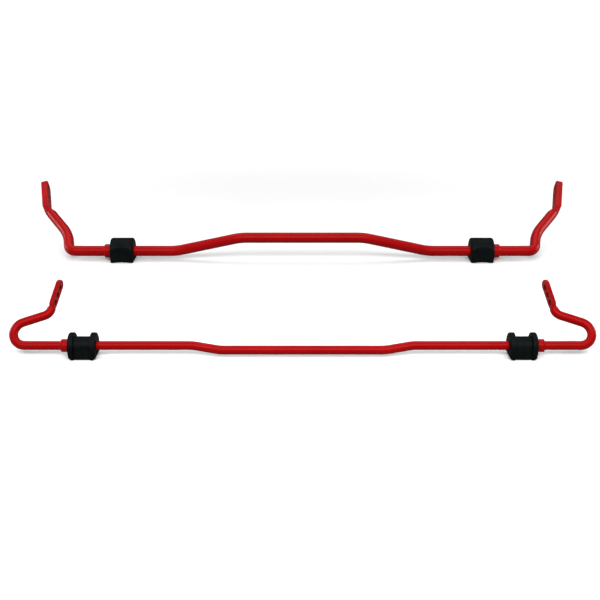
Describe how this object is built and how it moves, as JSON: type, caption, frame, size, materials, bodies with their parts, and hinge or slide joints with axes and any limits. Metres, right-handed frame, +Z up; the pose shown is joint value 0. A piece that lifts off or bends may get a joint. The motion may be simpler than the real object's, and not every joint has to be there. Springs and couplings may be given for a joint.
{
  "type": "sway bar",
  "caption": "Matched front and rear sway bars of bent spring steel with flattened, drilled ends, each turning in split D bushings beside pressed stop rings.",
  "frame": {"origin": "floor level, under the centre of the set, where the bushings stand", "axes": "+X along the bars to the right-hand ends, +Y from the rear bar to the front bar, +Z up"},
  "size_m": [1.3054, 0.8114, 0.1438],
  "materials": {
    "red_paint": "glossy powder coat",
    "bushing_rubber": "satin"
  },
  "bodies": {
    "front_left_bushing": {"front_bushing_left": "bushing_rubber"},
    "front_bar_body": {"front_bar": "red_paint", "front_stop_ring_left": "red_paint", "front_stop_ring_right": "red_paint"},
    "front_right_bushing": {"front_bushing_right": "bushing_rubber"},
    "rear_left_bushing": {"rear_bushing_left": "bushing_rubber"},
    "rear_bar_body": {"rear_bar": "red_paint", "rear_stop_ring_left": "red_paint", "rear_stop_ring_right": "red_paint"},
    "rear_right_bushing": {"rear_bushing_right": "bushing_rubber"}
  },
  "joints": [
    {"name": "front_bar_swing", "type": "hinge", "parent": "front_left_bushing", "child": "front_bar_body", "pos_m": [0, 0.19, 0.0215], "axis": [1, 0, 0], "range_deg": [-25, 25]},
    {"name": "front_right_bushing_turn", "type": "hinge", "parent": "front_bar_body", "child": "front_right_bushing", "pos_m": [0, 0.19, 0.0215], "axis": [1, 0, 0], "range_deg": [-25, 25]},
    {"name": "rear_set_slide", "type": "slide", "parent": "front_left_bushing", "child": "rear_left_bushing", "axis": [0, -1, 0], "range_m": [0, 0.3]},
    {"name": "rear_bar_swing", "type": "hinge", "parent": "rear_left_bushing", "child": "rear_bar_body", "pos_m": [0, -0.383, 0.021], "axis": [1, 0, 0], "range_deg": [-25, 25]},
    {"name": "rear_right_bushing_turn", "type": "hinge", "parent": "rear_bar_body", "child": "rear_right_bushing", "pos_m": [0, -0.383, 0.021], "axis": [1, 0, 0], "range_deg": [-25, 25]}
  ],
  "couplings": [
    {"joint": "front_right_bushing_turn", "follows": "front_bar_swing", "ratio": -1},
    {"joint": "rear_right_bushing_turn", "follows": "rear_bar_swing", "ratio": -1}
  ]
}
